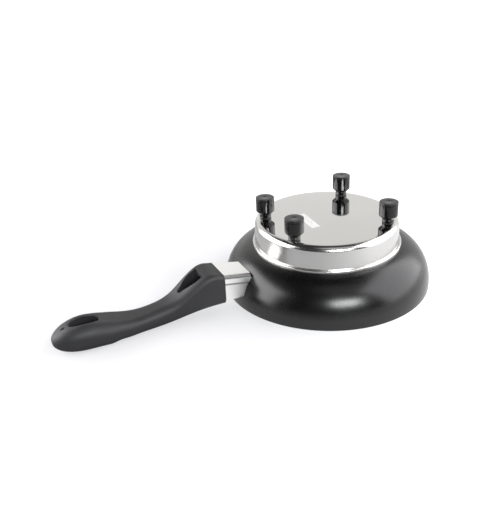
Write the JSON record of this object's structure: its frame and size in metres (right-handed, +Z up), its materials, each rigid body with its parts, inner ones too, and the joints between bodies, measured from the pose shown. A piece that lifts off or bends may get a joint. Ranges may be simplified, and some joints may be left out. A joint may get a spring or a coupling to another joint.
{
  "type": "electric frying pan",
  "caption": "Small round electric frying pan with a heated base, feet, an appliance inlet and a curved hanging handle, lying upside down on its rim.",
  "frame": {"origin": "centre of the pan's rim, in the plane of the rim, with the pan upside down as pictured", "axes": "+Z up from the rim through the base to the feet, handle along -X, appliance inlet towards +X"},
  "size_m": [0.3729, 0.2, 0.0869],
  "materials": {
    "coated_pan": "satin black non-stick coating over aluminium",
    "cast_aluminium": "as-cast heater plate",
    "sheath_steel": "matt annealed heater sheath",
    "seal_ceramic": "unglazed ceramic bead",
    "pin_steel": "plated steel pin",
    "cap_aluminium": "drawn aluminium cap",
    "thermostat_case": "moulded phenolic",
    "strap_steel": "zinc-plated sheet",
    "contact_brass": "plain brass",
    "fuse_case": "plain brass case",
    "sleeving": "braided glass-fibre sleeving",
    "mineral_sheet": "pressed mineral insulation sheet",
    "mirror_steel": "mirror-polished stainless sheet",
    "foot_plastic": "glossy black phenolic",
    "washer_rubber": "black rubber",
    "inlet_plastic": "heat-resistant black moulding",
    "wire_jacket": "silicone-covered glass-fibre lead",
    "wire_jacket_earth": "silicone-covered glass-fibre lead",
    "boss_aluminium": "machined boss",
    "bracket_steel": "satin stainless sleeve",
    "grip_plastic": "soft-touch charcoal black"
  },
  "bodies": {
    "root": {"pan_body": "coated_pan", "heat_plate": "cast_aluminium", "heating_element": "sheath_steel", "element_seal_live": "seal_ceramic", "element_seal_neutral": "seal_ceramic", "element_pin_live": "pin_steel", "element_pin_neutral": "pin_steel", "thermostat_cap": "cap_aluminium", "thermostat_body": "thermostat_case", "thermostat_strap": "strap_steel", "strap_screw_1": "strap_steel", "strap_screw_2": "strap_steel", "thermostat_tab_in": "contact_brass", "thermostat_tab_out": "contact_brass", "thermal_fuse": "fuse_case", "fuse_sleeve": "sleeving", "fuse_clip": "strap_steel", "fuse_screw": "strap_steel", "insulation_disc": "mineral_sheet", "base_cover": "mirror_steel", "trim_ring": "mirror_steel", "inlet_housing": "inlet_plastic", "inlet_pin_live": "contact_brass", "inlet_pin_neutral": "contact_brass", "inlet_earth": "contact_brass", "inlet_screw_1": "strap_steel", "inlet_screw_2": "strap_steel", "lead_live": "wire_jacket", "lead_link": "wire_jacket", "lead_load": "wire_jacket", "lead_neutral": "wire_jacket", "lead_earth": "wire_jacket_earth", "earth_screw": "strap_steel", "wall_boss": "boss_aluminium", "bracket_sleeve": "bracket_steel", "grip": "grip_plastic", "handle_washer": "strap_steel", "handle_screw": "strap_steel", "foot_1": "foot_plastic", "foot_insert_1": "contact_brass", "foot_washer_1": "washer_rubber", "foot_stud_1": "pin_steel", "foot_2": "foot_plastic", "foot_insert_2": "contact_brass", "foot_washer_2": "washer_rubber", "foot_stud_2": "pin_steel", "foot_3": "foot_plastic", "foot_insert_3": "contact_brass", "foot_washer_3": "washer_rubber", "foot_stud_3": "pin_steel", "foot_4": "foot_plastic", "foot_insert_4": "contact_brass", "foot_washer_4": "washer_rubber", "foot_stud_4": "pin_steel"}
  },
  "joints": []
}
